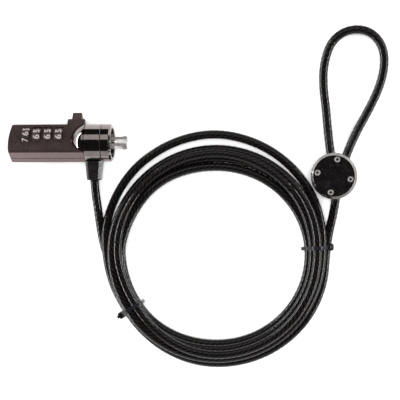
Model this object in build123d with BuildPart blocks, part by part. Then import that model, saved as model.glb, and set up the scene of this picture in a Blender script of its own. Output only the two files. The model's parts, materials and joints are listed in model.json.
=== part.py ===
from build123d import *
import math
import os

# Laptop cable lock, lying on a surface. Millimetres, +Z up, surface at Z = 0.
# The origin is on the surface, under the middle of the lock head. The head's barrel
# axis runs along +X; the head is rolled so that it rests on barrel and button.
# Head places are written (x, t, n): x along the barrel from the collar's rear edge,
# t across the body towards the button, n out of the dial face.

os.makedirs("parts", exist_ok=True)

# ---- head: frame ----
AXIS_X, AXIS_Y, AXIS_Z = 9.55, 1.485, 10.0
ROLL = math.radians(30)
FIT = 0.05            # radial running clearance
GAP = 0.3             # clearance between neighbouring moving faces

# ---- head: body ----
BODY_WIDTH, BODY_DEPTH = 17.8, 11.8
BODY_REAR_X, BODY_FRONT_X = -40.8, -0.45
REAR_CURVE_R, REAR_CURVE_T, REAR_BEVEL = 38.8, -1.2, 0.35
EDGE_BEVEL = 1.13
SEAM_N = -1.0
SEAM_GAP = 0.4
FACE_N = BODY_DEPTH / 2
COMB_N, COMB_LENGTH, COMB_WIDTH, COMB_THICK = -5.0, 22.0, 2.8, 0.35
COMB_TOOTH_LENGTH, COMB_TOOTH_WIDTH = 2.4, 0.9

# ---- head: dials ----
DIAL_X = (-31.6, -25.75, -19.9, -14.05)
DIAL_T, DIAL_N = 1.7, 1.7
DIAL_R, DIAL_WIDTH = 5.8, 4.2
DIAL_TURNS = (3.5, 21.5, 21.5, 21.5)    # ridge angle of each dial at rest, degrees
POCKET_R, POCKET_WIDTH = 6.1, 4.6
DIAL_GROOVE_R = 0.42
SLEEVE_R, SLEEVE_WIDTH = 3.55, 2.2
SLEEVE_GATE_LENGTH, SLEEVE_GATE_WIDTH = 1.6, 1.2
SPINDLE_R, LUG_R = 1.6, 2.6
LUG_LENGTH, LUG_WIDTH, LUG_OFFSET = 0.8, 1.0, -4.23
SPINDLE_REAR_X, SPINDLE_FRONT_X = -37.6, -10.3
RESET_REAR_X, RESET_LENGTH, RESET_R = -40.45, 0.95, 1.95
RESET_SLOT_WIDTH, RESET_SLOT_DEPTH = 0.6, 0.5

# ---- head: button and slide ----
BUTTON_X, BUTTON_N = -6.0, 0.4
BUTTON_WIDTH, BUTTON_DEPTH = 5.3, 4.4
TIP_X, TIP_N, TIP_T = -5.9, 0.75, 17.5
TIP_WIDTH, TIP_DEPTH, TIP_ROUND = 4.9, 4.3, 0.5
BLOCK_X0, BLOCK_X1, BLOCK_T, BLOCK_N, BLOCK_BEVEL = -10.1, -0.8, 11.2, -4.0, 0.4
STEM_X0, STEM_X1, STEM_HALF, STEM_SLOT_N = -7.5, -3.5, 1.6, 2.5
HEAD_FOOT_T = 8.6
RAMP_OFFSET, RAMP_GAP = 7.5, 0.2
CHAMBER_X0, CHAMBER_X1 = -10.8, -4.0
CHAMBER_WIDTH, CHAMBER_N, CHAMBER_DEPTH = 9.0, -1.9, 5.1
LINK_FLOOR_T, LINK_TOP_T, LINK_HALF = -4.1, -2.9, 1.5
PLATE_THICK, PLATE_N, PLATE_WIDTH = 1.2, 0.65, 4.3
ARM_TOP_T, ARM_N, ARM_WIDTH = 3.0, 2.325, 0.95

# ---- head: barrel ----
BARREL_R = 10.0
DOME_X = 1.5
DOME_POCKET_R = 10.15
SEAT_X, SEAT_T, DOME_FLAT_T = -2.4, -8.0, -7.9        # the body's side wall passes outside the dome
TUBE_R, TUBE_BORE_R, TUBE_END_X = 6.95, 5.2, 11.6
COLLAR_LENGTH = 8.6
CAP_X0, CAP_X1 = 8.9, 13.9
CAP_BEVEL, CAP_INNER_BEVEL, COLLAR_BEVEL = 0.9, 0.3, 0.2
PLATE_R, PLATE_X = 7.8, 12.6
PLATE_SLOT_T, PLATE_SLOT_N, PLATE_SLOT_CORNER = 7.6, 3.4, 0.6
PRONG_PIVOT_X, PRONG_PIVOT_T = 5.0, 2.45
PRONG_IN, PRONG_OUT, HOOK_OUT = 1.25, 2.85, 3.25
PRONG_HALF, PRONG_TIP_X = 1.4, 21.7
PRONG_NECK, NECK_X0, NECK_X1 = 0.85, 11.3, 12.1
HOOK_LENGTH, HOOK_BEVEL = 2.3, 0.6
PIN_R, PIN_EYE_R, PIN_HALF, EYE_R = 0.55, 0.62, 6.3, 1.2
SPREADER_R, SPREADER_TIP_X = 1.05, 10.6
WEB_X0, WEB_X1 = 3.0, 3.6

# ---- boot and cable ----
BOOT_X = AXIS_X + 4.3
BOOT_START, BOOT_END = 9.7, 19.6        # distances from the barrel axis
BOSS, BOSS_END = 6.0, 11.5
BOOT_TOP, BOOT_TOP_BEVEL = (8.8, 8.6), 1.3
BOOT_FOOT, BOOT_FOOT_BEVEL, BOOT_RIM = (7.3, 7.4), 1.2, 0.6
FERRULE_R, FERRULE_END = 2.9, 16.5
CABLE_D = 4.6
CABLE_R = CABLE_D / 2
BOOT_FACE_Y = AXIS_Y - BOOT_END

LEAD = [
    (13.9, BOOT_FACE_Y, 10.0),
    (14.2, -24.4, 9.5),
    (14.9, -31.5, 7.1),
    (15.4, -38.6, 4.1),
    (16.1, -45.7, 2.4),
    (17.6, -52.7, 2.3),
    (19.7, -58.9, 2.3),
]
TAIL = [
    (135.0, -58.0, 2.3),
    (135.8, -50.3, 2.3),
    (137.4, -42.1, 2.6),
    (139.2, -34.1, 3.8),
    (140.3, -26.9, 4.5),
    (140.7, -21.0, 4.5),
    (139.7, -15.0, 4.5),
]
LOOP = [
    (139.7, -15.0, 4.5),
    (138.4, -9.0, 4.5),
    (136.8, 0.5, 3.7),
    (135.9, 9.7, 2.5),
    (135.1, 19.3, 2.3),
    (133.9, 28.9, 2.3),
    (133.6, 38.1, 2.3),
    (135.0, 46.5, 2.3),
    (137.8, 53.7, 2.3),
    (142.6, 58.4, 2.3),
    (148.8, 60.7, 2.3),
    (155.3, 60.3, 2.3),
    (160.8, 57.1, 2.3),
    (164.4, 51.6, 2.3),
    (165.7, 44.1, 2.3),
    (164.3, 34.9, 2.3),
    (161.0, 25.9, 2.3),
    (156.2, 16.5, 2.3),
    (150.9, 6.9, 2.4),
    (146.7, -2.5, 3.9),
    (143.7, -10.4, 4.5),
]

# ---- coil, ties, loop clamp ----
COIL_X, COIL_Y = 77.4, -57.0
COIL_OUTER_R, COIL_HEIGHT = 59.4, 11.4
COIL_OUTER_SHIFT, COIL_INNER_SHIFT = -0.8, -0.35
COIL_INNER_X, COIL_INNER_Y = 47.1, 44.7
LOOSE_TURN_X, LOOSE_TURN_Y, LOOSE_TURN_R = -2.0, 4.9, 60.3
TIE_ANGLES = {"coil_tie_right": 3.7, "coil_tie_left": 213.0}
TIE_INNER_R, TIE_OUTER_R = 46.6, 60.8
TIE_WIDTH, TIE_THICK, TIE_OUTER_CORNER, TIE_INNER_CORNER = 2.0, 0.9, 2.4, 1.5
TIE_HEAD, TIE_HEAD_Z = (3.4, 3.6, 3.8), 6.0
CLAMP_X, CLAMP_Y, CLAMP_R = 139.25, -16.1, 12.0
CLAMP_HEIGHT, CLAMP_SPLIT = 9.0, 4.5
FACE_PLATE_R, FACE_PLATE_DEPTH = 10.3, 0.8
CLAMP_FLOOR, CLAMP_FOOT_BEVEL, CLAMP_RIM_BEVEL = 1.2, 0.8, 1.3
CLAMP_HEAD_R, CLAMP_SOCKET_R, CLAMP_SOCKET_DEPTH = 1.5, 0.75, 0.6
CLAMP_SCREW_R, CLAMP_SCREW_START, CLAMP_SHAFT_R = 8.7, 78.7, 0.55

HEAD = Plane(
    origin=(AXIS_X, AXIS_Y, AXIS_Z),
    x_dir=(1, 0, 0),
    z_dir=(0, math.sin(ROLL), math.cos(ROLL)),
)
BARREL_AXIS = Axis((AXIS_X, AXIS_Y, AXIS_Z), (1, 0, 0))


def cross_plane(x, t=0.0, n=0.0):
    """Plane across the barrel at station x; its local X is t and its local Y is n."""
    return Plane(HEAD.from_local_coords((x, t, n)), x_dir=HEAD.y_dir, z_dir=HEAD.x_dir)


def button_plane(t):
    """Plane square to the button's travel; its local X is x and its local Y is -n."""
    return Plane(HEAD.from_local_coords((0, t, 0)), x_dir=HEAD.x_dir, z_dir=HEAD.y_dir)


def boot_plane(distance):
    """Plane square to the boot, at a distance from the barrel axis, facing away."""
    return Plane((BOOT_X, AXIS_Y - distance, AXIS_Z), x_dir=(1, 0, 0), z_dir=(0, -1, 0))


def save(part, name):
    part.label = name
    export_step(part, f"parts/{name}.step")


# ================= lock body =================
with BuildPart() as body_form:
    with BuildSketch(cross_plane(BODY_REAR_X)):
        section = Rectangle(BODY_WIDTH, BODY_DEPTH)
        chamfer(section.vertices(), EDGE_BEVEL)
    extrude(amount=BODY_FRONT_X - BODY_REAR_X)
    with BuildSketch(HEAD.offset(-BODY_DEPTH)):
        with Locations((BODY_REAR_X + REAR_CURVE_R, REAR_CURVE_T)):
            Circle(REAR_CURVE_R)
    extrude(amount=2 * BODY_DEPTH, mode=Mode.INTERSECT)
    chamfer(body_form.faces().sort_by(Axis.X)[0].edges(), REAR_BEVEL)
    with BuildSketch(HEAD.offset(BLOCK_N)):
        with BuildLine():
            Polyline(
                (BLOCK_X0, 0),
                (BLOCK_X0, BLOCK_T - BLOCK_BEVEL),
                (BLOCK_X0 + BLOCK_BEVEL, BLOCK_T),
                (BLOCK_X1 - BLOCK_BEVEL, BLOCK_T),
                (BLOCK_X1, BLOCK_T - BLOCK_BEVEL),
                (BLOCK_X1, 0),
                close=True,
            )
        make_face()
    extrude(amount=FACE_N - BLOCK_N)

# Seat of the barrel's dome, which leaves the body's side wall standing.
with BuildPart() as dome_seat:
    with Locations(HEAD.from_local_coords((DOME_X, 0, 0))):
        Sphere(DOME_POCKET_R)
    with BuildSketch(cross_plane(SEAT_X)):
        Circle(BARREL_R + 0.1)
    extrude(amount=-2 * SEAT_X)
    split(bisect_by=button_plane(SEAT_T), keep=Keep.TOP)

# Space inside the body: dial pockets, spindle bore, link chamber, barrel seat.
with BuildPart() as body_space:
    add(dome_seat.part)
    for x in DIAL_X:
        with BuildSketch(cross_plane(x - POCKET_WIDTH / 2, DIAL_T, DIAL_N)):
            Circle(POCKET_R)
        extrude(amount=POCKET_WIDTH)
    with BuildSketch(cross_plane(SPINDLE_REAR_X - GAP, DIAL_T, DIAL_N)):
        Circle(LUG_R + GAP)
    extrude(amount=BODY_FRONT_X - SPINDLE_REAR_X)
    with BuildSketch(HEAD.offset(CHAMBER_N)):
        with Locations(((CHAMBER_X0 + CHAMBER_X1) / 2, 0)):
            Rectangle(CHAMBER_X1 - CHAMBER_X0, CHAMBER_WIDTH)
    extrude(amount=CHAMBER_DEPTH)
    with BuildSketch(button_plane(4)):
        with Locations((BUTTON_X, -BUTTON_N)):
            Rectangle(BUTTON_WIDTH + 0.4, BUTTON_DEPTH + 0.4)
    extrude(amount=BLOCK_T - 3)
    with BuildSketch(cross_plane(RESET_REAR_X + RESET_LENGTH + FIT, DIAL_T, DIAL_N)):
        Circle(RESET_R + 2 * FIT)
    extrude(amount=-3)
    with BuildSketch(HEAD.offset(COMB_N - 0.1)):
        with Locations((sum(DIAL_X) / 4, DIAL_T)):
            Rectangle(COMB_LENGTH + 0.4, COMB_WIDTH + 0.4)
    extrude(amount=3 * COMB_THICK)

# Bevelled lip round the dome, in the dial face.
LIP_T, LIP_TOP_R, LIP_FOOT_R, LIP_DEPTH = -0.25, 8.85, 8.2, 0.9
with BuildPart() as dome_lip:
    with BuildSketch(HEAD.offset(FACE_N + 0.2)):
        with Locations((DOME_X, LIP_T)):
            Circle(LIP_TOP_R)
    with BuildSketch(HEAD.offset(FACE_N - LIP_DEPTH)):
        with Locations((DOME_X, LIP_T)):
            Circle(LIP_FOOT_R)
    loft()

SHELL_SCREWS = ((-36.4, -6.6), (-36.4, 6.6), (-10.6, -6.6))
SCREW_HEAD_R, SCREW_SHAFT_R, SCREW_SOCKET_R = 1.25, 0.7, 0.7
SCREW_HEAD_DEPTH, SCREW_LENGTH, SCREW_BITE = 1.1, 7.8, 3.4

with BuildPart() as upper_shell:
    add(body_form.part)
    split(bisect_by=HEAD.offset(SEAM_N + SEAM_GAP / 2), keep=Keep.TOP)
    add(body_space.part, mode=Mode.SUBTRACT)
    add(dome_lip.part, mode=Mode.SUBTRACT)
    with BuildSketch(HEAD.offset(SEAM_N)):
        with Locations(*SHELL_SCREWS):
            Circle(SCREW_SHAFT_R)
    extrude(amount=SCREW_BITE, mode=Mode.SUBTRACT)
save(upper_shell.part, "upper_shell")

with BuildPart() as lower_shell:
    add(body_form.part)
    split(bisect_by=HEAD.offset(SEAM_N - SEAM_GAP / 2), keep=Keep.BOTTOM)
    add(body_space.part, mode=Mode.SUBTRACT)
    with BuildSketch(HEAD.offset(-FACE_N)):
        with Locations(*SHELL_SCREWS):
            Circle(SCREW_SHAFT_R + 0.1)
    extrude(amount=FACE_N, mode=Mode.SUBTRACT)
    with BuildSketch(HEAD.offset(-FACE_N)):
        with Locations(*SHELL_SCREWS):
            Circle(SCREW_HEAD_R + 0.1)
    extrude(amount=SCREW_HEAD_DEPTH + 0.1, mode=Mode.SUBTRACT)
save(lower_shell.part, "lower_shell")

with BuildPart() as shell_screws:
    with BuildSketch(HEAD.offset(-FACE_N + 0.1)):
        with Locations(*SHELL_SCREWS):
            Circle(SCREW_HEAD_R)
            RegularPolygon(SCREW_SOCKET_R, 6, mode=Mode.SUBTRACT)
    extrude(amount=SCREW_HEAD_DEPTH - 0.1)
    with BuildSketch(HEAD.offset(-FACE_N + SCREW_HEAD_DEPTH - 0.3)):
        with Locations(*SHELL_SCREWS):
            Circle(SCREW_SHAFT_R)
    extrude(amount=SCREW_LENGTH - SCREW_HEAD_DEPTH + 0.3)
save(shell_screws.part, "shell_screws")

with BuildPart() as reset_screw:
    with BuildSketch(cross_plane(RESET_REAR_X, DIAL_T, DIAL_N)):
        Circle(RESET_R)
    extrude(amount=RESET_LENGTH)
    with BuildSketch(cross_plane(RESET_REAR_X, DIAL_T, DIAL_N)):
        Rectangle(1.5 * RESET_R, RESET_SLOT_WIDTH)
    extrude(amount=RESET_SLOT_DEPTH, mode=Mode.SUBTRACT)
save(reset_screw.part, "reset_screw")

with BuildPart() as detent_comb:
    with BuildSketch(HEAD.offset(COMB_N)):
        with Locations((sum(DIAL_X) / 4, DIAL_T)):
            Rectangle(COMB_LENGTH, COMB_WIDTH)
    extrude(amount=COMB_THICK)
    for x in DIAL_X:
        with BuildSketch(HEAD.offset(COMB_N + COMB_THICK)):
            with Locations((x, DIAL_T)):
                Rectangle(COMB_TOOTH_LENGTH, COMB_TOOTH_WIDTH)
        extrude(amount=COMB_THICK)
save(detent_comb.part, "detent_comb")

# ================= dials and spindle =================
for number, (x, turn) in enumerate(zip(DIAL_X, DIAL_TURNS), 1):
    with BuildPart() as dial:
        with BuildSketch(cross_plane(x - DIAL_WIDTH / 2, DIAL_T, DIAL_N)):
            RegularPolygon(DIAL_R, 10, rotation=turn)
            with PolarLocations(DIAL_R, 10, start_angle=turn):
                Circle(DIAL_GROOVE_R, mode=Mode.SUBTRACT)
            Circle(SLEEVE_R + FIT, mode=Mode.SUBTRACT)
        extrude(amount=DIAL_WIDTH)
    save(dial.part, f"dial_{number}")

    with BuildPart() as code_sleeve:
        with BuildSketch(cross_plane(x - SLEEVE_WIDTH / 2, DIAL_T, DIAL_N)):
            Circle(SLEEVE_R)
            Circle(SPINDLE_R + 2 * FIT, mode=Mode.SUBTRACT)
            with Locations((SPINDLE_R + SLEEVE_GATE_LENGTH / 3, 0)):
                Rectangle(SLEEVE_GATE_LENGTH, SLEEVE_GATE_WIDTH, mode=Mode.SUBTRACT)
        extrude(amount=SLEEVE_WIDTH)
    save(code_sleeve.part, f"code_sleeve_{number}")

with BuildPart() as code_spindle:
    with BuildSketch(cross_plane(SPINDLE_REAR_X, DIAL_T, DIAL_N)):
        Circle(SPINDLE_R)
    extrude(amount=SPINDLE_FRONT_X - SPINDLE_REAR_X)
    for x in DIAL_X:
        with BuildSketch(cross_plane(x + LUG_OFFSET - LUG_LENGTH / 2, DIAL_T, DIAL_N)):
            with Locations((LUG_R / 2, 0)):
                Rectangle(LUG_R, LUG_WIDTH)
        extrude(amount=LUG_LENGTH)
save(code_spindle.part, "code_spindle")

# ================= button, link and spreader =================
with BuildPart() as push_button:
    with BuildSketch(button_plane(HEAD_FOOT_T)):
        with Locations((BUTTON_X, -BUTTON_N)):
            Rectangle(BUTTON_WIDTH, BUTTON_DEPTH)
    extrude(amount=BLOCK_T - HEAD_FOOT_T)
    with BuildSketch(button_plane(BLOCK_T)):
        with Locations((BUTTON_X, -BUTTON_N)):
            Rectangle(BUTTON_WIDTH, BUTTON_DEPTH)
    with BuildSketch(button_plane(TIP_T)):
        with Locations((TIP_X, -TIP_N)):
            Rectangle(TIP_WIDTH, TIP_DEPTH)
    loft()
    tip_face = push_button.faces().sort_by(Axis(HEAD.origin, HEAD.y_dir))[-1]
    fillet(tip_face.edges(), TIP_ROUND)
    with BuildSketch(HEAD.offset(-STEM_HALF)):
        with BuildLine():
            Polyline(
                (STEM_X0, HEAD_FOOT_T),
                (STEM_X0, STEM_X0 + RAMP_OFFSET),
                (STEM_X1, STEM_X1 + RAMP_OFFSET),
                (STEM_X1, HEAD_FOOT_T),
                close=True,
            )
        make_face()
    extrude(amount=2 * STEM_HALF)
save(push_button.part, "push_button")

RAMP_X0, RAMP_X1, LINK_FRONT_X = -7.3, -3.5, -1.2
with BuildPart() as slide_link:
    with BuildSketch(HEAD.offset(-LINK_HALF)):
        with BuildLine():
            Polyline(
                (SPINDLE_FRONT_X, LINK_FLOOR_T),
                (SPINDLE_FRONT_X, LINK_TOP_T),
                (RAMP_X0, LINK_TOP_T),
                (RAMP_X0, RAMP_X0 + RAMP_OFFSET - RAMP_GAP),
                (RAMP_X1, RAMP_X1 + RAMP_OFFSET - RAMP_GAP),
                (LINK_FRONT_X, RAMP_X1 + RAMP_OFFSET - RAMP_GAP),
                (LINK_FRONT_X, LINK_FLOOR_T),
                close=True,
            )
        make_face()
    extrude(amount=2 * LINK_HALF)
    with BuildSketch(cross_plane(SPINDLE_FRONT_X)):
        with Locations(((LINK_FLOOR_T + LINK_TOP_T) / 2, PLATE_N)):
            Rectangle(LINK_TOP_T - LINK_FLOOR_T, PLATE_WIDTH)
        with Locations(((LINK_FLOOR_T + ARM_TOP_T) / 2, ARM_N)):
            Rectangle(ARM_TOP_T - LINK_FLOOR_T, ARM_WIDTH)
    extrude(amount=PLATE_THICK)
save(slide_link.part, "slide_link")

with BuildPart() as spreader_pin:
    with BuildSketch(HEAD):
        with BuildLine():
            Polyline(
                (LINK_FRONT_X, 0),
                (LINK_FRONT_X, SPREADER_R),
                (SPREADER_TIP_X - 2.4, SPREADER_R),
                (SPREADER_TIP_X, SPREADER_R / 2),
                (SPREADER_TIP_X, 0),
                close=True,
            )
        make_face()
    revolve(axis=BARREL_AXIS)
save(spreader_pin.part, "spreader_pin")

SPRING_R, SPRING_WIRE_R, SPRING_PITCH = 1.6, 0.2, 1.25
with BuildPart() as return_spring:
    with BuildLine():
        coil_line = Helix(
            SPRING_PITCH,
            3 * SPRING_PITCH,
            SPRING_R,
            center=HEAD.from_local_coords((LINK_FRONT_X + 0.25, 0, 0)),
            direction=(1, 0, 0),
        )
    with BuildSketch(Plane(coil_line @ 0, z_dir=coil_line % 0)):
        Circle(SPRING_WIRE_R)
    sweep(is_frenet=True)
save(return_spring.part, "return_spring")

# ================= barrel =================


def dome_radius(x):
    return math.sqrt(BARREL_R**2 - (x - DOME_X) ** 2)


DOME_REAR_X = DOME_X - math.sqrt(BARREL_R**2 - TUBE_BORE_R**2)
RING_X0, RING_X1, RING_R = -1.2, -0.3, 9.9
with BuildPart() as barrel_core:
    with BuildSketch(HEAD):
        with BuildLine():
            ThreePointArc(
                (DOME_REAR_X, TUBE_BORE_R),
                (-4.5, dome_radius(-4.5)),
                (RING_X0, dome_radius(RING_X0)),
            )
            Polyline(
                (RING_X0, dome_radius(RING_X0)),
                (RING_X0, RING_R),
                (RING_X1, RING_R),
                (RING_X1, TUBE_R),
                (TUBE_END_X, TUBE_R),
                (TUBE_END_X, TUBE_BORE_R),
                (WEB_X1, TUBE_BORE_R),
                (WEB_X1, SPREADER_R + 0.1),
                (WEB_X0, SPREADER_R + 0.1),
                (WEB_X0, TUBE_BORE_R),
                (DOME_REAR_X, TUBE_BORE_R),
            )
        make_face()
    revolve(axis=BARREL_AXIS)
    with BuildSketch(button_plane(DOME_FLAT_T)):
        with Locations((RING_X1 - 5, 0)):
            Rectangle(10, 22)
    extrude(amount=-3, mode=Mode.SUBTRACT)
    with BuildSketch(HEAD.offset(-STEM_SLOT_N)):
        with Locations(((STEM_X0 + STEM_X1) / 2, BARREL_R / 2)):
            Rectangle(STEM_X1 - STEM_X0 + 1.5, BARREL_R)
    extrude(amount=2 * STEM_SLOT_N + 0.5, mode=Mode.SUBTRACT)
    with BuildSketch(HEAD.offset(-PIN_HALF)):
        with Locations((PRONG_PIVOT_X, PRONG_PIVOT_T), (PRONG_PIVOT_X, -PRONG_PIVOT_T)):
            Circle(PIN_R)
    extrude(amount=2 * PIN_HALF, mode=Mode.SUBTRACT)
save(barrel_core.part, "barrel_core")

with BuildPart() as prong_pins:
    with BuildSketch(HEAD.offset(-PIN_HALF)):
        with Locations((PRONG_PIVOT_X, PRONG_PIVOT_T), (PRONG_PIVOT_X, -PRONG_PIVOT_T)):
            Circle(PIN_R)
    extrude(amount=2 * PIN_HALF)
save(prong_pins.part, "prong_pins")

for name, side in (("prong_upper", 1), ("prong_lower", -1)):
    with BuildPart() as prong:
        with BuildSketch(HEAD.offset(-PRONG_HALF)):
            with BuildLine():
                Polyline(
                    (PRONG_PIVOT_X, side * PRONG_IN),
                    (NECK_X0 - 0.5, side * PRONG_IN),
                    (NECK_X0, side * PRONG_NECK),
                    (NECK_X1, side * PRONG_NECK),
                    (NECK_X1 + 0.5, side * PRONG_IN),
                    (PRONG_TIP_X, side * PRONG_IN),
                    (PRONG_TIP_X, side * (PRONG_OUT - 0.25)),
                    (PRONG_TIP_X - HOOK_BEVEL, side * HOOK_OUT),
                    (PRONG_TIP_X - HOOK_LENGTH, side * HOOK_OUT),
                    (PRONG_TIP_X - HOOK_LENGTH, side * PRONG_OUT),
                    (PRONG_PIVOT_X, side * PRONG_OUT),
                    close=True,
                )
            make_face()
            with Locations((PRONG_PIVOT_X, side * PRONG_PIVOT_T)):
                Circle(EYE_R)
                Circle(PIN_EYE_R, mode=Mode.SUBTRACT)
        extrude(amount=2 * PRONG_HALF)
    save(prong.part, name)

with BuildPart() as nose_cap:
    with BuildSketch(cross_plane(CAP_X0)):
        Circle(BARREL_R)
        Circle(TUBE_R, mode=Mode.SUBTRACT)
    extrude(amount=TUBE_END_X - CAP_X0)
    with BuildSketch(cross_plane(TUBE_END_X)):
        Circle(BARREL_R)
        Circle(PLATE_R, mode=Mode.SUBTRACT)
    extrude(amount=CAP_X1 - TUBE_END_X)
    front_edges = nose_cap.faces().sort_by(Axis.X)[-1].edges().sort_by(SortBy.RADIUS)
    chamfer(front_edges[-1], CAP_BEVEL)
    chamfer(front_edges[0], CAP_INNER_BEVEL)
save(nose_cap.part, "nose_cap")

with BuildPart() as nose_plate:
    with BuildSketch(cross_plane(TUBE_END_X)):
        Circle(PLATE_R)
        RectangleRounded(PLATE_SLOT_T, PLATE_SLOT_N, PLATE_SLOT_CORNER, mode=Mode.SUBTRACT)
    extrude(amount=PLATE_X - TUBE_END_X)
save(nose_plate.part, "nose_plate")

# ================= swivel collar and cable outlet =================
with BuildPart() as swivel_collar:
    with BuildSketch(cross_plane(0)):
        Circle(BARREL_R)
        Circle(TUBE_R + FIT, mode=Mode.SUBTRACT)
    extrude(amount=COLLAR_LENGTH)
    outer_rims = swivel_collar.edges().filter_by(GeomType.CIRCLE).sort_by(SortBy.RADIUS)[-2:]
    chamfer(outer_rims, COLLAR_BEVEL)
    with BuildSketch(boot_plane(BOOT_START - 0.5)):
        Rectangle(BOSS, BOSS)
    extrude(amount=BOSS_END - BOOT_START + 0.5)
save(swivel_collar.part, "swivel_collar")

with BuildPart() as cable_boot:
    with BuildSketch(boot_plane(BOOT_START)):
        top = Rectangle(*BOOT_TOP)
        chamfer(top.vertices(), BOOT_TOP_BEVEL)
    with BuildSketch(boot_plane(BOOT_END - BOOT_RIM)):
        foot = Rectangle(*BOOT_FOOT)
        chamfer(foot.vertices(), BOOT_FOOT_BEVEL)
    loft()
    with BuildSketch(boot_plane(BOOT_END - BOOT_RIM)):
        rim = Rectangle(*BOOT_FOOT)
        chamfer(rim.vertices(), BOOT_FOOT_BEVEL)
    extrude(amount=BOOT_RIM, taper=25)
    with BuildSketch(cross_plane(-2)):
        Circle(BARREL_R + GAP)
    extrude(amount=18, mode=Mode.SUBTRACT)
    with BuildSketch(boot_plane(0)):
        Rectangle(BOSS, BOSS)
    extrude(amount=BOSS_END, mode=Mode.SUBTRACT)
    with BuildSketch(boot_plane(BOSS_END)):
        Circle(FERRULE_R)
    extrude(amount=FERRULE_END - BOSS_END, mode=Mode.SUBTRACT)
save(cable_boot.part, "cable_boot")

with BuildPart() as cable_ferrule:
    with BuildSketch(boot_plane(BOSS_END)):
        Circle(FERRULE_R)
    extrude(amount=FERRULE_END - BOSS_END)
save(cable_ferrule.part, "cable_ferrule")

# ================= cable =================


def corner_radii(points):
    """The largest tangent arc at each corner that keeps 0.45 of the shorter run."""
    radii = []
    for before, here, after in zip(points, points[1:], points[2:]):
        run_in = Vector(*here) - Vector(*before)
        run_out = Vector(*after) - Vector(*here)
        half_turn = math.radians(run_in.get_angle(run_out) / 2)
        radii.append(0.45 * min(run_in.length, run_out.length) / math.tan(half_turn))
    return radii


for name, points in (("cable_lead", LEAD), ("cable_tail", TAIL), ("cable_loop", LOOP)):
    radii = corner_radii(points)
    with BuildPart() as cable:
        with BuildLine() as route:
            FilletPolyline(*points, radius=radii)
        line = route.wire()
        with BuildSketch(Plane(line @ 0, z_dir=line % 0)):
            Circle(CABLE_R)
        sweep(path=line)
    save(cable.part, name)

with BuildPart() as cable_coil:
    with BuildSketch():
        with Locations((COIL_X, COIL_Y + COIL_OUTER_SHIFT)):
            Circle(COIL_OUTER_R)
        with Locations((COIL_X, COIL_Y + COIL_INNER_SHIFT)):
            Ellipse(COIL_INNER_X, COIL_INNER_Y, mode=Mode.SUBTRACT)
    extrude(amount=COIL_HEIGHT)
    fillet(cable_coil.faces().sort_by(Axis.Z)[-1].edges(), CABLE_R)
    with BuildSketch():
        with Locations((COIL_X + LOOSE_TURN_X, COIL_Y + LOOSE_TURN_Y)):
            Circle(LOOSE_TURN_R)
        with Locations((COIL_X, COIL_Y)):
            Circle(COIL_OUTER_R - 3, mode=Mode.SUBTRACT)
    extrude(amount=CABLE_D)
save(cable_coil.part, "cable_coil")

for name, angle in TIE_ANGLES.items():
    outward = (math.cos(math.radians(angle)), math.sin(math.radians(angle)), 0)
    middle_r = (TIE_INNER_R + TIE_OUTER_R) / 2
    tie_plane = Plane(
        (COIL_X + middle_r * outward[0], COIL_Y + middle_r * outward[1], 0),
        x_dir=outward,
        z_dir=(outward[1], -outward[0], 0),
    )
    with BuildPart() as tie:
        with BuildSketch(tie_plane):
            with Locations((0, (COIL_HEIGHT + TIE_THICK) / 2)):
                RectangleRounded(
                    TIE_OUTER_R - TIE_INNER_R + 2 * TIE_THICK,
                    COIL_HEIGHT + TIE_THICK,
                    TIE_OUTER_CORNER,
                )
                RectangleRounded(
                    TIE_OUTER_R - TIE_INNER_R,
                    COIL_HEIGHT - TIE_THICK,
                    TIE_INNER_CORNER,
                    mode=Mode.SUBTRACT,
                )
        extrude(amount=TIE_WIDTH / 2, both=True)
        with BuildSketch(tie_plane):
            with Locations(((TIE_OUTER_R - TIE_INNER_R) / 2 + TIE_HEAD[0] / 2, TIE_HEAD_Z)):
                Rectangle(TIE_HEAD[0], TIE_HEAD[1])
        extrude(amount=TIE_HEAD[2] / 2, both=True)
    save(tie.part, name)

# ================= loop clamp =================


def clamp_plane(height):
    return Plane((CLAMP_X, CLAMP_Y, height), x_dir=(1, 0, 0), z_dir=(0, 0, 1))


def cable_channel(points):
    """A bore for the cable through the clamp, along part of its route."""
    with BuildPart() as channel:
        with BuildLine() as route:
            FilletPolyline(*points, radius=corner_radii(points))
        line = route.wire()
        with BuildSketch(Plane(line @ 0, z_dir=line % 0)):
            Circle(CABLE_R + FIT)
        sweep(path=line)
    return channel.part


channels = [
    cable_channel(points)
    for points in (TAIL[2:], LOOP[:4], LOOP[-4:-1] + [(143.5, -10.9, 4.5)])
]

with BuildPart() as clamp_base:
    with BuildSketch(clamp_plane(0)):
        Circle(CLAMP_R)
    extrude(amount=CLAMP_SPLIT)
    chamfer(clamp_base.faces().sort_by(Axis.Z)[0].edges(), CLAMP_FOOT_BEVEL)
    for channel in channels:
        add(channel, mode=Mode.SUBTRACT)
    with BuildSketch(clamp_plane(CLAMP_FLOOR)):
        with PolarLocations(CLAMP_SCREW_R, 4, start_angle=CLAMP_SCREW_START):
            Circle(CLAMP_SHAFT_R)
    extrude(amount=CLAMP_SPLIT, mode=Mode.SUBTRACT)
save(clamp_base.part, "clamp_base")

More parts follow.
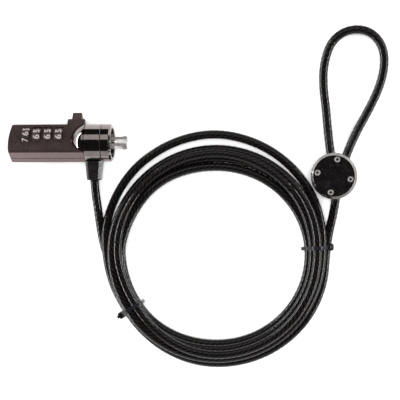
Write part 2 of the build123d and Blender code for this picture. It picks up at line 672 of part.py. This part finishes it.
with BuildPart() as clamp_cap:
    with BuildSketch(clamp_plane(CLAMP_SPLIT)):
        Circle(CLAMP_R)
    extrude(amount=CLAMP_HEIGHT - CLAMP_SPLIT)
    chamfer(clamp_cap.faces().sort_by(Axis.Z)[-1].edges(), CLAMP_RIM_BEVEL)
    for channel in channels:
        add(channel, mode=Mode.SUBTRACT)
    with BuildSketch(clamp_plane(CLAMP_HEIGHT - FACE_PLATE_DEPTH)):
        Circle(FACE_PLATE_R)
    extrude(amount=FACE_PLATE_DEPTH, mode=Mode.SUBTRACT)
    with BuildSketch(clamp_plane(CLAMP_SPLIT)):
        with PolarLocations(CLAMP_SCREW_R, 4, start_angle=CLAMP_SCREW_START):
            Circle(CLAMP_SHAFT_R)
    extrude(amount=CLAMP_HEIGHT, mode=Mode.SUBTRACT)
save(clamp_cap.part, "clamp_cap")

with BuildPart() as clamp_faceplate:
    with BuildSketch(clamp_plane(CLAMP_HEIGHT - FACE_PLATE_DEPTH)):
        Circle(FACE_PLATE_R)
        with PolarLocations(CLAMP_SCREW_R, 4, start_angle=CLAMP_SCREW_START):
            Circle(CLAMP_HEAD_R + FIT, mode=Mode.SUBTRACT)
    extrude(amount=FACE_PLATE_DEPTH - 0.15)
save(clamp_faceplate.part, "clamp_faceplate")

with BuildPart() as clamp_screws:
    with BuildSketch(clamp_plane(CLAMP_HEIGHT - FACE_PLATE_DEPTH)):
        with PolarLocations(CLAMP_SCREW_R, 4, start_angle=CLAMP_SCREW_START):
            Circle(CLAMP_HEAD_R)
    extrude(amount=FACE_PLATE_DEPTH)
    chamfer(clamp_screws.faces().filter_by(Axis.Z).group_by(Axis.Z)[-1].edges(), 0.2)
    with BuildSketch(clamp_plane(CLAMP_HEIGHT)):
        with PolarLocations(CLAMP_SCREW_R, 4, start_angle=CLAMP_SCREW_START):
            RegularPolygon(CLAMP_SOCKET_R, 6)
    extrude(amount=-CLAMP_SOCKET_DEPTH, mode=Mode.SUBTRACT)
    with BuildSketch(clamp_plane(CLAMP_FLOOR + GAP)):
        with PolarLocations(CLAMP_SCREW_R, 4, start_angle=CLAMP_SCREW_START):
            Circle(CLAMP_SHAFT_R)
    extrude(amount=CLAMP_HEIGHT - FACE_PLATE_DEPTH - CLAMP_FLOOR - GAP)
save(clamp_screws.part, "clamp_screws")
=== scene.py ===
"""Laptop cable lock: the visible model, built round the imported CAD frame. Metres, +Z up."""

import json
import math

import bpy
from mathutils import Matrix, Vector


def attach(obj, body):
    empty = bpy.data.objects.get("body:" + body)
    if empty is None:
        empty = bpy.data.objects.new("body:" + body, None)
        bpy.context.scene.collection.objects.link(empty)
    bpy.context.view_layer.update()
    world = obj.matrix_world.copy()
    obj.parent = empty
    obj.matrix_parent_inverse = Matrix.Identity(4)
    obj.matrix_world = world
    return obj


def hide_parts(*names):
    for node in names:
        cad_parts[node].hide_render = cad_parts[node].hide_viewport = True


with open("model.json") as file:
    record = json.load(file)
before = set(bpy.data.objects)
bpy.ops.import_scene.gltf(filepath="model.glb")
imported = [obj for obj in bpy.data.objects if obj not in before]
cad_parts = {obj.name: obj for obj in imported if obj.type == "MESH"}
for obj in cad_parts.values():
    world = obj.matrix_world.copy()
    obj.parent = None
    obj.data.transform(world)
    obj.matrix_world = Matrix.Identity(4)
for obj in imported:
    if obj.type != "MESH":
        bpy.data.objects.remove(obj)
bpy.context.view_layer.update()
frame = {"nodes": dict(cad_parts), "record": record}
scene = bpy.context.scene
MM = 0.001

# ================= camera =================
CAMERA_TILT = math.radians(5.5)
CAMERA_DISTANCE = 0.689
CAMERA_TARGET = Vector((0.06865, -0.028565, 0.0))

camera_data = bpy.data.cameras.new("camera")
camera_data.lens = 117
camera_data.sensor_width = 36
camera = bpy.data.objects.new("camera", camera_data)
scene.collection.objects.link(camera)
toward_camera = Vector((math.sin(CAMERA_TILT), 0, math.cos(CAMERA_TILT)))
camera.location = CAMERA_TARGET + CAMERA_DISTANCE * toward_camera
camera.rotation_euler = (0, CAMERA_TILT, 0)
scene.camera = camera

# ================= cable route =================
CABLE_R = 2.3
COIL_CENTRE = (77.4, -57.0)
COIL_STEP = 15
LEAD = [
    (13.9, -18.115, 10.0),
    (14.2, -24.4, 9.5),
    (14.9, -31.5, 7.1),
    (15.4, -38.6, 4.1),
    (16.1, -45.7, 2.4),
    (17.6, -52.7, 2.3),
    (19.7, -58.9, 2.3),
]
TAIL = [
    (135.0, -58.0, 2.3),
    (135.8, -50.3, 2.3),
    (137.4, -42.1, 2.6),
    (139.2, -34.1, 3.8),
    (140.3, -26.9, 4.5),
    (140.7, -21.0, 4.5),
]
LOOP = [
    (138.4, -9.0, 4.5),
    (136.8, 0.5, 3.7),
    (135.9, 9.7, 2.5),
    (135.1, 19.3, 2.3),
    (133.9, 28.9, 2.3),
    (133.6, 38.1, 2.3),
    (135.0, 46.5, 2.3),
    (137.8, 53.7, 2.3),
    (142.6, 58.4, 2.3),
    (148.8, 60.7, 2.3),
    (155.3, 60.3, 2.3),
    (160.8, 57.1, 2.3),
    (164.4, 51.6, 2.3),
    (165.7, 44.1, 2.3),
    (164.3, 34.9, 2.3),
    (161.0, 25.9, 2.3),
    (156.2, 16.5, 2.3),
    (150.9, 6.9, 2.4),
    (146.7, -2.5, 3.9),
    (143.7, -10.4, 4.5),
]
# The coil's five and a half turns, counted anticlockwise from the lead:
# (angle in degrees, distance from the coil's centre, height of the cable's middle).
COIL = [
    (180, 58.2, 2.3), (210, 53.9, 2.3), (270, 52.4, 2.3), (360, 53.2, 2.3),
    (450, 50.6, 2.3), (510, 51.4, 2.3), (570, 49.5, 2.3), (630, 47.4, 2.3),
    (720, 48.8, 2.3), (810, 45.9, 2.3), (860, 48.2, 5.8), (930, 51.7, 6.4),
    (990, 49.9, 5.9), (1080, 51.0, 6.2), (1130, 52.2, 6.4), (1170, 52.9, 6.2),
    (1220, 52.4, 6.4), (1250, 51.9, 9.8), (1290, 49.5, 10.3), (1350, 52.4, 9.6),
    (1440, 53.2, 9.9), (1470, 54.9, 7.5), (1500, 55.0, 4.2), (1530, 55.3, 2.3),
    (1580, 55.2, 3.4), (1605, 55.2, 7.5), (1620, 54.7, 9.2), (1650, 53.9, 10.0),
    (1710, 54.9, 5.8), (1800, 55.4, 6.0), (1830, 59.0, 3.6), (1860, 61.3, 2.3),
    (1890, 63.2, 2.3), (1935, 62.3, 2.3), (1965, 60.1, 4.8), (1980, 57.6, 6.3),
    (2010, 55.3, 6.0), (2070, 57.5, 2.3), (2130, 58.2, 2.3), (2160, 57.6, 2.3),
]


def coil_point(angle):
    """A control point of the coil, eased between the two rows of COIL round it."""
    before = max(k for k, row in enumerate(COIL[:-1]) if row[0] <= angle)
    start, r0, z0 = COIL[before]
    end, r1, z1 = COIL[before + 1]
    share = (angle - start) / (end - start)
    share = share * share * (3 - 2 * share)
    spread = 1 / math.cos(math.radians(COIL_STEP / 2))   # the spline runs inside its points
    radius = (r0 + (r1 - r0) * share) * spread
    turn = math.radians(angle)
    return (
        COIL_CENTRE[0] + radius * math.cos(turn),
        COIL_CENTRE[1] + radius * math.sin(turn),
        z0 + (z1 - z0) * share,
    )


coil = [coil_point(angle) for angle in range(195, 2150, COIL_STEP)]
route_points = LEAD + coil + TAIL + LOOP

route_curve = bpy.data.curves.new("cable_route", "CURVE")
route_curve.dimensions = "3D"
spline = route_curve.splines.new("NURBS")
spline.points.add(len(route_points) - 1)
for point, place in zip(spline.points, route_points):
    point.co = (place[0] * MM, place[1] * MM, place[2] * MM, 1)
spline.order_u = 3
spline.use_endpoint_u = True
spline.resolution_u = 18
route = bpy.data.objects.new("cable_route", route_curve)
scene.collection.objects.link(route)
bpy.context.view_layer.update()
route_mesh = bpy.data.meshes.new_from_object(route)
centres = [v.co.copy() for v in route_mesh.vertices]
bpy.data.objects.remove(route)


# ================= mesh and material helpers =================
def mesh_piece(name, points, faces, smooth=True):
    """A new mesh object from points in metres."""
    mesh = bpy.data.meshes.new(name)
    mesh.from_pydata([tuple(p) for p in points], [], faces)
    mesh.validate()
    piece = bpy.data.objects.new(name, mesh)
    scene.collection.objects.link(piece)
    if smooth:
        mesh.shade_smooth()
    return piece


def tube_faces(sides, rings, closed=False):
    """The walls between rings of points, and from the last ring to the first if closed."""
    faces = []
    for k in range(rings if closed else rings - 1):
        a, b = k * sides, (k + 1) % rings * sides
        for side in range(sides):
            right = (side + 1) % sides
            faces.append((a + side, a + right, b + right, b + side))
    return faces


def bevelled(piece, width, segments=3):
    """Rounds the edges of a piece, and keeps its flats flat."""
    bevel = piece.modifiers.new("bevel", "BEVEL")
    bevel.width = width
    bevel.segments = segments
    bevel.limit_method = "ANGLE"
    bevel.angle_limit = math.radians(35)
    bevel.harden_normals = True
    return piece


class Surface:
    """A procedural material: a principled shader fed by noises in the piece's own coordinates."""

    def __init__(self, name, metallic=0.0, coat=0.0, coat_roughness=0.03, specular=0.5):
        self.material = bpy.data.materials.new(name)
        self.material.use_nodes = True
        self.tree = self.material.node_tree
        self.shader = self.tree.nodes["Principled BSDF"]
        self.shader.inputs["Metallic"].default_value = metallic
        self.shader.inputs["Coat Weight"].default_value = coat
        self.shader.inputs["Coat Roughness"].default_value = coat_roughness
        self.shader.inputs["Specular IOR Level"].default_value = specular
        self.place = self.node("ShaderNodeTexCoord").outputs["Object"]

    def node(self, kind, **settings):
        made = self.tree.nodes.new(kind)
        for key, value in settings.items():
            setattr(made, key, value)
        return made

    def join(self, output, socket):
        self.tree.links.new(output, socket)

    def noise(self, scale, detail=4.0, roughness=0.6, stretch=(1, 1, 1)):
        """Noise with about `scale` lumps to the metre."""
        mapping = self.node("ShaderNodeMapping")
        mapping.inputs["Scale"].default_value = stretch
        self.join(self.place, mapping.inputs["Vector"])
        texture = self.node("ShaderNodeTexNoise")
        texture.inputs["Scale"].default_value = scale
        texture.inputs["Detail"].default_value = detail
        texture.inputs["Roughness"].default_value = roughness
        self.join(mapping.outputs["Vector"], texture.inputs["Vector"])
        return texture.outputs["Fac"]

    def math(self, operation, a, b=0.0, c=0.0):
        node = self.node("ShaderNodeMath", operation=operation)
        for socket, value in zip(node.inputs, (a, b, c)):
            if isinstance(value, (int, float)):
                socket.default_value = value
            else:
                self.join(value, socket)
        return node.outputs[0]

    def between(self, value, low, high, out_low, out_high):
        """value mapped from low..high to out_low..out_high, clamped."""
        node = self.node("ShaderNodeMapRange")
        self.join(value, node.inputs["Value"])
        for key, number in (
            ("From Min", low), ("From Max", high), ("To Min", out_low), ("To Max", out_high)
        ):
            node.inputs[key].default_value = number
        return node.outputs["Result"]

    def blend(self, share, first, second):
        """Colour between first and second, each a colour or an output."""
        node = self.node("ShaderNodeMix", data_type="RGBA")
        self.join(share, node.inputs["Factor"])
        for socket, colour in ((node.inputs[6], first), (node.inputs[7], second)):
            if isinstance(colour, tuple):
                socket.default_value = (*colour, 1)
            else:
                self.join(colour, socket)
        return node.outputs[2]

    def colour(self, output):
        self.join(output, self.shader.inputs["Base Color"])

    def roughness(self, output):
        self.join(output, self.shader.inputs["Roughness"])

    def bump(self, height, distance, strength=1.0):
        node = self.node("ShaderNodeBump")
        node.inputs["Distance"].default_value = distance
        node.inputs["Strength"].default_value = strength
        self.join(height, node.inputs["Height"])
        self.join(node.outputs["Normal"], self.shader.inputs["Normal"])


# ================= materials =================
def painted_metal(name, colour, dark, gloss, grain):
    """Satin metallic paint: fine flake in its sheen, a faint orange peel, slow colour drift."""
    s = Surface(name, metallic=0.85)
    flake = s.noise(9000, 2)
    drift = s.noise(60, 3)
    s.colour(s.blend(s.between(drift, 0.35, 0.65, 0, 1), dark, colour))
    s.roughness(s.between(s.math("ADD", flake, drift), 0.7, 1.3, gloss - 0.06, gloss + 0.07))
    s.bump(s.noise(grain, 3), 0.00002, 0.35)
    return s.material


def polished_metal(name, colour, dark, low, high, metallic=1.0):
    """Bright plated metal: nearly even, with faint waves, smears and hairline wear."""
    s = Surface(name, metallic=metallic)
    smear = s.noise(260, 5)
    hair = s.noise(1500, 2, 0.5, (1, 14, 14))
    s.colour(s.blend(s.between(smear, 0.35, 0.7, 0, 1), colour, dark))
    s.roughness(s.between(s.math("ADD", smear, hair), 0.75, 1.3, low, high))
    s.bump(s.noise(110, 2), 0.000012, 0.5)
    return s.material


def moulded_plastic(name, colour, worn, low, high, grain, depth, specular=0.5):
    """Moulded black plastic with a fine grain and slightly paler rubbed places."""
    s = Surface(name, specular=specular)
    mottle = s.noise(300, 5)
    s.colour(s.blend(s.between(mottle, 0.45, 0.75, 0, 1), colour, worn))
    s.roughness(s.between(s.noise(grain * 0.3, 3), 0.3, 0.7, low, high))
    s.bump(s.noise(grain, 3), depth, 0.6)
    return s.material


def cable_coating(name):
    """Smoke-black glossy plastic over stranded steel: the strands and their wires show faintly.
    Reads the tube's own map: U once round, V in metres along."""
    s = Surface(name, coat=0.4, coat_roughness=0.05, specular=0.06)
    split = s.node("ShaderNodeSeparateXYZ")
    s.join(s.node("ShaderNodeTexCoord").outputs["UV"], split.inputs["Vector"])
    around, along = split.outputs["X"], split.outputs["Y"]
    strands_round = s.math("MULTIPLY", around, STRANDS)
    strand = s.math("FRACT", s.math("MULTIPLY_ADD", along, STRANDS / LAY, strands_round))
    ridge = s.math("SINE", s.math("MULTIPLY", strand, math.pi))
    wires_round = s.math("MULTIPLY", around, STRANDS * 2)
    wires = s.math("MULTIPLY_ADD", along, -STRANDS * 3 / LAY, wires_round)
    wire = s.math("ABSOLUTE", s.math("SINE", s.math("MULTIPLY", wires, math.pi)))
    strand_tops = s.between(ridge, 0.45, 1.0, 0, 1)
    steel = s.math("MULTIPLY", strand_tops, s.between(wire, 0.2, 1.0, 0.35, 1))
    smoke = s.between(s.noise(900, 3), 0.35, 0.65, 0.4, 1.0)
    shown = s.math("MULTIPLY", steel, smoke)
    s.colour(s.blend(shown, (0.0012, 0.0010, 0.0010), (0.0145, 0.0122, 0.0112)))
    s.roughness(s.between(s.noise(500, 4), 0.3, 0.7, 0.20, 0.34))
    relief = s.math("ADD", s.math("MULTIPLY", ridge, 0.6), s.math("MULTIPLY", wire, 0.2))
    s.bump(relief, 0.00006, 0.5)
    return s.material


def mottled_black(name):
    """Dull black lacquer on the clamp's face, with small paler specks."""
    s = Surface(name, specular=0.08)
    speck = s.noise(1400, 6, 0.75)
    cloud = s.noise(260, 4)
    patches = s.between(cloud, 0.4, 0.65, 0.2, 1)
    share = s.math("MULTIPLY", s.between(speck, 0.48, 0.68, 0, 1), patches)
    s.colour(s.blend(share, (0.0012, 0.0009, 0.0010), (0.026, 0.019, 0.021)))
    s.roughness(s.between(speck, 0.35, 0.65, 0.42, 0.62))
    s.bump(speck, 0.00004, 0.5)
    return s.material


def socket_screws(name, colour, dark):
    """Plated screws with smears, and painted shade down in their sockets. For the clamp's four.
    """
    s = Surface(name, metallic=0.62)
    smear = s.noise(900, 5, 0.7)
    plating = s.blend(s.between(smear, 0.35, 0.65, 0, 1), colour, dark)
    height = s.node("ShaderNodeSeparateXYZ")
    s.join(s.place, height.inputs["Vector"])
    # painted shade: near the socket floors the colour turns near black, standing in for the shade
    # down in the sockets
    unshaded = s.between(
        height.outputs["Z"], SOCKET_FLOOR, SOCKET_FLOOR + SOCKET_SHADE_DEPTH, 0, 1)
    s.colour(s.blend(unshaded, (0.02, 0.018, 0.018), plating))
    s.roughness(s.between(smear, 0.3, 0.7, 0.14, 0.30))
    s.bump(s.noise(1500, 3), 0.00003, 0.4)
    return s.material


def digit_paint(name):
    """Off-white printed ink, a little uneven and rubbed."""
    s = Surface(name)
    rub = s.noise(2600, 4, 0.7)
    s.colour(s.blend(s.between(rub, 0.4, 0.7, 0, 1), (0.35, 0.31, 0.30), (0.22, 0.19, 0.18)))
    s.roughness(s.between(rub, 0.3, 0.7, 0.45, 0.65))
    s.bump(rub, 0.00002, 0.4)
    return s.material


SOCKET_FLOOR = 0.0084  # height of the clamp screws' socket floors, metres
SOCKET_SHADE_DEPTH = 0.0004    # depth of the painted shade in the sockets, metres
STRANDS = 6            # strands round the cable that show
LAY = 0.0180           # length in which a strand goes once round, metres

finishes = {
    "gunmetal": painted_metal(
        "body_paint", (0.126, 0.090, 0.086), (0.110, 0.079, 0.075), 0.27, 1900),
    "black_nickel": polished_metal(
        "black_nickel", (0.225, 0.195, 0.19), (0.18, 0.155, 0.15), 0.05, 0.12),
    "bright_steel": polished_metal(
        "bright_steel", (0.76, 0.73, 0.71), (0.58, 0.555, 0.54), 0.16, 0.30, metallic=0.8),
    "dial_black": painted_metal(
        "dial_paint", (0.115, 0.092, 0.090), (0.09, 0.072, 0.070), 0.34, 2500),
    "button_dark": painted_metal(
        "button_paint", (0.112, 0.082, 0.078), (0.090, 0.066, 0.063), 0.34, 1900),
    "boot_black": moulded_plastic(
        "boot_plastic", (0.004, 0.0035, 0.0035), (0.010, 0.009, 0.009),
        0.22, 0.34, 2600, 0.00003),
    "cable_coating": cable_coating("cable_plastic"),
    "tie_nylon": moulded_plastic(
        "tie_nylon", (0.005, 0.005, 0.007), (0.012, 0.012, 0.016),
        0.22, 0.34, 3000, 0.00002, specular=0.22),
    "clamp_metal": polished_metal(
        "clamp_plating", (0.28, 0.265, 0.257), (0.21, 0.197, 0.193), 0.06, 0.16),
    "clamp_black": mottled_black("clamp_lacquer"),
    "screw_steel": polished_metal(
        "screw_steel", (0.50, 0.47, 0.46), (0.26, 0.245, 0.24), 0.14, 0.30, metallic=0.62),
    "inner_steel": polished_metal(
        "inner_steel", (0.58, 0.57, 0.56), (0.46, 0.45, 0.44), 0.25, 0.40),
    "inner_brass": polished_metal(
        "inner_brass", (0.72, 0.52, 0.24), (0.60, 0.42, 0.18), 0.22, 0.36),
}
digit_ink = digit_paint("digit_ink")
clamp_screw_finish = socket_screws(
    "clamp_screw_steel", (0.50, 0.47, 0.46), (0.26, 0.245, 0.24))

for part in frame["record"]["subparts"]:
    node = frame["nodes"][part["node"]]
    node.data.materials.clear()
    node.data.materials.append(finishes[part["material_slot"]])
frame["nodes"]["clamp_screws"].data.materials[0] = clamp_screw_finish

# The edges that catch the light: width of the rounding in millimetres.
EDGE_ROUNDING = {
    "prong_upper": 0.35,
    "prong_lower": 0.35,
    "push_button": 0.25,
    "clamp_screws": 0.12,
    "upper_shell": 0.15,
    "lower_shell": 0.15,
    "cable_boot": 0.2,
}
for name, width in EDGE_ROUNDING.items():
    bevelled(frame["nodes"][name], width * MM)

# ================= cable =================
TUBE_SIDES = 32
LOBE = 0.05             # depth of the strands' waves, as a share of the radius


def twisted_tube(name, line, radius):
    """A closed tube along line whose surface waves with the strands inside it."""
    points, along = [], [0.0]
    for before, after in zip(line, line[1:]):
        along.append(along[-1] + (after - before).length)
    heading = (line[1] - line[0]).normalized()
    across = heading.cross(Vector((0, 0, 1))).normalized()
    for k, centre in enumerate(line):
        ahead = (line[min(k + 1, len(line) - 1)] - line[max(k - 1, 0)]).normalized()
        across = (across - ahead * across.dot(ahead)).normalized()
        up = ahead.cross(across)
        for side in range(TUBE_SIDES):
            turn = 2 * math.pi * side / TUBE_SIDES
            wave = math.cos(STRANDS * (turn + 2 * math.pi * along[k] / LAY))
            reach = radius * (1 - LOBE * 0.5 * (1 - wave))
            points.append(centre + reach * (math.cos(turn) * across + math.sin(turn) * up))
    faces = tube_faces(TUBE_SIDES, len(line))
    last = (len(line) - 1) * TUBE_SIDES
    faces.append(tuple(reversed(range(TUBE_SIDES))))
    faces.append(tuple(range(last, last + TUBE_SIDES)))
    piece = mesh_piece(name, points, faces)
    layer = piece.data.uv_layers.new(name="strands")
    for polygon in piece.data.polygons:
        corners = [
            divmod(piece.data.loops[i].vertex_index, TUBE_SIDES) for i in polygon.loop_indices
        ]
        last_strip = any(side == TUBE_SIDES - 1 for _, side in corners)
        wraps = polygon.loop_total == 4 and last_strip
        for i, (ring, side) in zip(polygon.loop_indices, corners):
            if wraps and side == 0:
                side = TUBE_SIDES
            layer.data[i].uv = (side / TUBE_SIDES, along[ring])
    return piece


cable = twisted_tube("coated_cable", centres, CABLE_R * MM)
cable.data.materials.append(finishes["cable_coating"])
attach(cable, "cable_side")
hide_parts("cable_lead", "cable_coil", "cable_tail", "cable_loop")

# ================= cable ties =================
UP = Vector((0, 0, 1))
# Millimetres.
BAND = 0.45                     # half the thickness of a tie's band
BAND_WIDTH = 1.9
BAND_GAP = 0.05                 # between the cable and the band
BAND_R = 52                     # mean distance of a band from the coil's centre
SLACK_IN, SLACK_OUT = 0.7, 0.5
HEAD_HALF = (1.5, 1.75, 1.8)    # half the size of the ratchet head
TAIL_START = 1.6                # height of the tail's root over the head's middle
TAIL_HALF_WIDTH, TAIL_HALF_THICK, TAIL_STEPS = 0.8, 0.4, 8


def coil_place(angle, radius, height):
    """A place in the row frame, from the coil's centre, in metres."""
    turn = math.radians(angle)
    return Vector((
        (COIL_CENTRE[0] + radius * math.cos(turn)) * MM,
        (COIL_CENTRE[1] + radius * math.sin(turn)) * MM,
        height * MM,
    ))


def coil_directions(angle):
    """Outward from the coil's centre, and anticlockwise along the coil."""
    turn = math.radians(angle)
    outward = Vector((math.cos(turn), math.sin(turn), 0))
    return outward, Vector((-outward.y, outward.x, 0))


def cable_ring(angle):
    """Where the cable passes through the upright plane at this angle: (radius, height) pairs."""
    outward, along = coil_directions(angle)
    middle = Vector((COIL_CENTRE[0] * MM, COIL_CENTRE[1] * MM, 0))
    found = []
    for before, after in zip(centres, centres[1:]):
        a, b = (before - middle).dot(along), (after - middle).dot(along)
        if a <= 0 < b and (before - middle).dot(outward) > 0:
            place = before.lerp(after, -a / (b - a)) - middle
            found.append((place.dot(outward) / MM, place.z / MM))
    return found


def band_outline(turns, steps=72):
    """The band's middle line, drawn taut round the turns, with a little slack on either side."""
    line = []
    for step in range(steps):
        way = 2 * math.pi * step / steps
        c, s = math.cos(way), math.sin(way)
        r, z = max(turns, key=lambda t: t[0] * c + t[1] * s)
        reach = CABLE_R + BAND + BAND_GAP
        slack = (SLACK_OUT if c > 0 else SLACK_IN) * c * c * c * c
        line.append((r + reach * c + math.copysign(slack, c), max(z + reach * s, BAND)))
    return line


def nylon_piece(name, points, faces, rounding, segments):
    """A piece of a tie with its edges rounded, in millimetres."""
    piece = bevelled(mesh_piece(name, points, faces), rounding * MM, segments)
    piece.data.materials.append(finishes["tie_nylon"])
    return piece


def tie_band(name, angle, outline):
    half = math.degrees(BAND_WIDTH / 2 / BAND_R)
    points = []
    count = len(outline)
    sides = ((-half, -BAND), (half, -BAND), (half, BAND), (-half, BAND))
    for k, (r, z) in enumerate(outline):
        after, before = outline[(k + 1) % count], outline[k - 1]
        run = Vector((after[0] - before[0], after[1] - before[1]))
        out = Vector((run.y, -run.x)).normalized()
        for shift, lift in sides:
            points.append(coil_place(angle + shift, r + out.x * lift, max(z + out.y * lift, 0.0)))
    return nylon_piece(name, points, tube_faces(4, count, closed=True), 0.18, 2)


def tie_head(name, angle, middle):
    outward, along = coil_directions(angle)
    x, y, z = HEAD_HALF
    box = [(i, j, k) for i in (-x, x) for j in (-y, y) for k in (-z, z)]
    corners = [middle + MM * (i * outward + j * along + k * UP) for i, j, k in box]
    quads = [(0, 1, 3, 2), (4, 6, 7, 5), (0, 4, 5, 1), (2, 3, 7, 6), (0, 2, 6, 4), (1, 5, 7, 3)]
    return nylon_piece(name, corners, quads, 0.55, 4)


def tie_tail(name, angle, root, lean, rise):
    """The cut-off end of a tie, which curves outward by lean while it rises."""
    outward, along = coil_directions(angle)
    points = []
    for k in range(TAIL_STEPS + 1):
        share = k / TAIL_STEPS
        middle = root + MM * (lean * share * share * outward + rise * share * UP)
        way = Vector((2 * lean * share, rise)).normalized()
        flat = MM * TAIL_HALF_THICK * (way.y * outward - way.x * UP)
        wide = MM * TAIL_HALF_WIDTH * along
        for shift in (-wide - flat, wide - flat, wide + flat, -wide + flat):
            points.append(middle + shift)
    faces = tube_faces(4, TAIL_STEPS + 1)
    faces.append((3, 2, 1, 0))
    faces.append(tuple(4 * TAIL_STEPS + side for side in range(4)))
    return nylon_piece(name, points, faces, 0.12, 2)


def cable_tie(name, angle, node, head_shift, head_height, tail):
    """A nylon tie round the bundle, which stands for a CAD node: band, ratchet head and tail.

    The head's middle lies head_shift outside the band's outer edge; tail is how far the tail
    leans outward and how far it rises. Millimetres."""
    outline = band_outline(cable_ring(angle))
    band = tie_band(name, angle, outline)
    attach(band, "cable_side")
    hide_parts(node)
    head_middle = coil_place(angle, max(outline)[0] + head_shift, head_height)
    head = tie_head(name + "_head", angle, head_middle)
    end = tie_tail(name + "_end", angle, head_middle + TAIL_START * MM * UP, *tail)
    for piece in (head, end):
        piece.parent = band
    return [band, head, end]


ties = cable_tie("tie_right", 3.7, "coil_tie_right", -1.4, 5.4, (0.3, 0.9))
ties += cable_tie("tie_left", 213, "coil_tie_left", 1.0, 3.6, (2.2, 0.9))

# ================= dial digits =================
ROLL = math.radians(30)
TOWARD_BUTTON = Vector((0, math.cos(ROLL), -math.sin(ROLL)))
OUT_OF_FACE = Vector((0, math.sin(ROLL), math.cos(ROLL)))
FACET_DISTANCE = 5.8 * math.cos(math.radians(18))
FACET_TURNS = (-3.5, -21.5, -21.5, -21.5)       # from the face's normal towards the button
FIRST_DIGIT = (6, 6, 6, 6)
DIGIT_HEIGHT, DIGIT_WIDTH = 3.3, 2.35
DIGIT_LIFT = 0.02                               # off the dial's facet
NARROW_ONE = 0.55                               # width of the 1, as a share of the others


def digit_outlines():
    """The ten digits as flat meshes: (points, faces), each one high and centred."""
    drawn = []
    for digit in range(10):
        text = bpy.data.curves.new("digit", "FONT")
        text.body = str(digit)
        text.align_x = "CENTER"
        text.offset = 0.012
        text.resolution_u = 4
        holder = bpy.data.objects.new("digit", text)
        scene.collection.objects.link(holder)
        bpy.context.view_layer.update()
        mesh = bpy.data.meshes.new_from_object(holder)
        corners = [v.co for v in mesh.vertices]
        low = Vector((min(p.x for p in corners), min(p.y for p in corners)))
        high = Vector((max(p.x for p in corners), max(p.y for p in corners)))
        size = high - low
        points = [
            Vector(((p.x - low.x) / size.x - 0.5, (p.y - low.y) / size.y - 0.5)) for p in corners
        ]
        narrow = NARROW_ONE if digit == 1 else 1.0
        cells = [tuple(face.vertices) for face in mesh.polygons]
        drawn.append(([(p.x * narrow, p.y) for p in points], cells))
        bpy.data.objects.remove(holder)
    return drawn


digits = digit_outlines()
hinge_places = {
    joint["name"]: Vector(joint["pos_m"])
    for joint in frame["record"]["behaviour"]["joints"] if "pos_m" in joint
}
for k in range(4):
    points, faces = [], []
    middle = hinge_places[f"dial_{k + 1}_turn"] / MM
    for facet in range(10):
        turn = math.radians(FACET_TURNS[k] + 36 * facet)
        out = math.sin(turn) * TOWARD_BUTTON + math.cos(turn) * OUT_OF_FACE
        right = Vector((1, 0, 0)).cross(out)
        shape, cells = digits[(FIRST_DIGIT[k] - facet) % 10]
        start = len(points)
        for x, y in shape:
            place = middle + out * (FACET_DISTANCE + DIGIT_LIFT)
            place = place + right * (-x * DIGIT_WIDTH) + Vector((-1, 0, 0)) * (y * DIGIT_HEIGHT)
            points.append(place * MM)
        faces += [tuple(start + i for i in cell) for cell in cells]
    ink = mesh_piece(f"dial_{k + 1}_digits", points, faces, smooth=False)
    ink.data.materials.append(digit_ink)
    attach(ink, f"dial_{k + 1}")

# ================= floor and light =================
FLOOR_DROP = 0.0001     # under the lock, so that the two surfaces don't coincide
floor_corners = [(-1.6, -1.6, 0), (1.7, -1.6, 0), (1.7, 1.6, 0), (-1.6, 1.6, 0)]
floor = mesh_piece("floor", floor_corners, [(0, 1, 2, 3)], smooth=False)
floor.location.z = -FLOOR_DROP
floor_finish = Surface("floor_paper", specular=0.0)
floor_finish.colour(
    floor_finish.blend(floor_finish.noise(6, 2), (0.90, 0.90, 0.90), (0.92, 0.92, 0.92))
)
floor_finish.shader.inputs["Roughness"].default_value = 0.9
floor.data.materials.append(floor_finish.material)


def softbox(name, place, aim, size, power, seen=True, colour=(1, 1, 1)):
    """A rectangular light at place that faces aim. One that isn't seen has no mirror image."""
    data = bpy.data.lights.new(name, "AREA")
    data.shape = "RECTANGLE"
    data.size, data.size_y = size
    data.energy = power
    data.color = colour
    light = bpy.data.objects.new(name, data)
    scene.collection.objects.link(light)
    light.location = place
    light.rotation_euler = (Vector(aim) - Vector(place)).to_track_quat("-Z", "Y").to_euler()
    light.visible_glossy = seen
    light.visible_camera = False
    return light


softbox("overhead", (0.06, 0.62, 0.95), (0.06, 0, 0), (1.4, 0.62), 3.4)
softbox("front_card", (0.06, -0.95, 0.33), (0.06, 0, 0.0), (1.8, 0.65), 3.7)
softbox("left_strip", (-0.95, 0.05, 0.32), (0.06, 0, 0.0), (2.0, 0.07), 23)
softbox("right_strip", (1.15, 0.05, 0.32), (0.06, 0, 0.0), (2.0, 0.07), 23)
softbox("left_card", (-1.10, 0.10, 0.20), (0, 0, 0.01), (1.7, 0.36), 3.8)
softbox("fill_high", (0.20, -0.03, 1.6), (0.07, -0.03, 0), (0.9, 0.9), 25, seen=False)

world = bpy.data.worlds.new("studio")
world.use_nodes = True
world.node_tree.nodes["Background"].inputs["Color"].default_value = (1.0, 0.97, 0.96, 1)
world.node_tree.nodes["Background"].inputs["Strength"].default_value = 0.03
scene.world = world
scene.view_settings.view_transform = "Standard"
